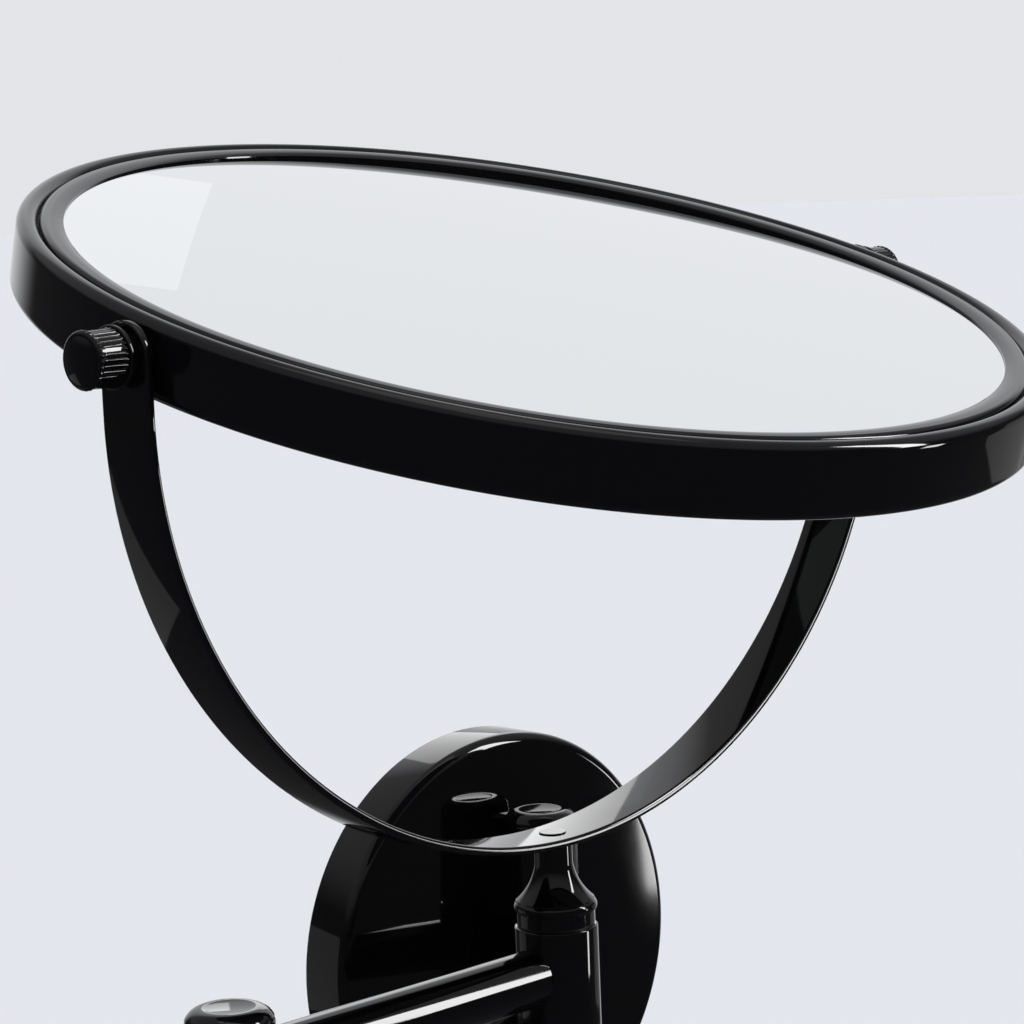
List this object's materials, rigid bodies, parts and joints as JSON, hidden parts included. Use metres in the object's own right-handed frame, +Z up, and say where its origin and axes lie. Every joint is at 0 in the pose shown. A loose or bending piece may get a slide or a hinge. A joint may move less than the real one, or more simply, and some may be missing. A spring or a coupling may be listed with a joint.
{
  "type": "extendable shaving mirror",
  "caption": "Wall-mounted round two-sided shaving mirror tilting in a U-shaped yoke that swivels on a folding two-link arm.",
  "frame": {"origin": "middle of the wall bracket's back face, on the wall", "axes": "+Z up, -Y out of the wall towards the user, +X to the right as seen by the user facing the wall"},
  "size_m": [0.24, 0.2073, 0.2509],
  "materials": {
    "black_enamel": "gloss black enamel over brass",
    "plain_steel": "plain turned steel",
    "nylon": "black nylon",
    "turned_brass": "turned brass",
    "flat_mirror": "silvered flat glass",
    "magnifying_mirror": "silvered concave glass",
    "foam_pad": "closed-cell foam"
  },
  "bodies": {
    "wall_mount": {"wall_bracket": "plain_steel", "wall_rosette": "black_enamel", "rosette_grub_screw": "plain_steel", "hinge_fork": "black_enamel", "fork_screws": "plain_steel", "wall_hinge_pin": "plain_steel", "fork_cap_top": "black_enamel", "fork_cap_bottom": "black_enamel", "wall_hinge_washers": "nylon"},
    "inner_arm": {"inner_arm_tube": "black_enamel", "inner_arm_wall_barrel": "black_enamel", "wall_hinge_bush": "turned_brass", "inner_arm_elbow_barrel": "black_enamel", "elbow_pin": "plain_steel", "elbow_washer": "nylon", "elbow_spring_washer": "plain_steel", "elbow_nut": "plain_steel", "elbow_cap_bottom": "black_enamel"},
    "outer_arm": {"outer_arm_tube": "black_enamel", "outer_arm_elbow_barrel": "black_enamel", "elbow_bush": "turned_brass", "elbow_cap_top": "black_enamel", "outer_arm_end_barrel": "black_enamel", "swivel_bush": "turned_brass", "end_barrel_cap": "black_enamel"},
    "yoke": {"swivel_neck": "black_enamel", "swivel_pin": "plain_steel", "swivel_washer": "nylon", "swivel_spring_washer": "plain_steel", "swivel_nut": "plain_steel", "yoke_strap": "black_enamel", "yoke_screw": "black_enamel"},
    "mirror": {"mirror_rim": "black_enamel", "front_bezel": "black_enamel", "rear_bezel": "black_enamel", "front_glass": "flat_mirror", "rear_glass": "magnifying_mirror", "front_pad": "foam_pad", "rear_pad": "foam_pad", "pivot_anchor_right": "turned_brass", "pivot_anchor_left": "turned_brass", "pivot_stud_right": "plain_steel", "pivot_stud_left": "plain_steel", "pivot_spacer_right": "nylon", "pivot_spacer_left": "nylon"},
    "knob_right": {"knob_flange_right": "black_enamel", "knob_grip_right": "black_enamel", "knob_end_right": "black_enamel"},
    "knob_left": {"knob_flange_left": "black_enamel", "knob_grip_left": "black_enamel", "knob_end_left": "black_enamel"}
  },
  "joints": [
    {"name": "wall_swing", "type": "hinge", "parent": "wall_mount", "child": "inner_arm", "pos_m": [0, -0.026, 0], "axis": [0, 0, 1], "range_deg": [-27.7, 152.3]},
    {"name": "elbow_swing", "type": "hinge", "parent": "inner_arm", "child": "outer_arm", "pos_m": [-0.15716, -0.10851, 0], "axis": [0, 0, 1], "range_deg": [-329.5, 20.5]},
    {"name": "yoke_swivel", "type": "hinge", "parent": "outer_arm", "child": "yoke", "pos_m": [-0.06922, -0.10513, 0], "axis": [0, 0, 1], "continuous": true},
    {"name": "mirror_tilt", "type": "hinge", "parent": "yoke", "child": "mirror", "pos_m": [-0.06922, -0.10513, 0.1634], "axis": [0.9973, 0.0732, 0], "continuous": true},
    {"name": "knob_right_turn", "type": "hinge", "parent": "mirror", "child": "knob_right", "pos_m": [-0.06922, -0.10513, 0.1634], "axis": [0.9973, 0.0732, 0], "range_deg": [0, 180]},
    {"name": "knob_left_turn", "type": "hinge", "parent": "mirror", "child": "knob_left", "pos_m": [-0.06922, -0.10513, 0.1634], "axis": [-0.9973, -0.0732, 0], "range_deg": [0, 180]}
  ]
}
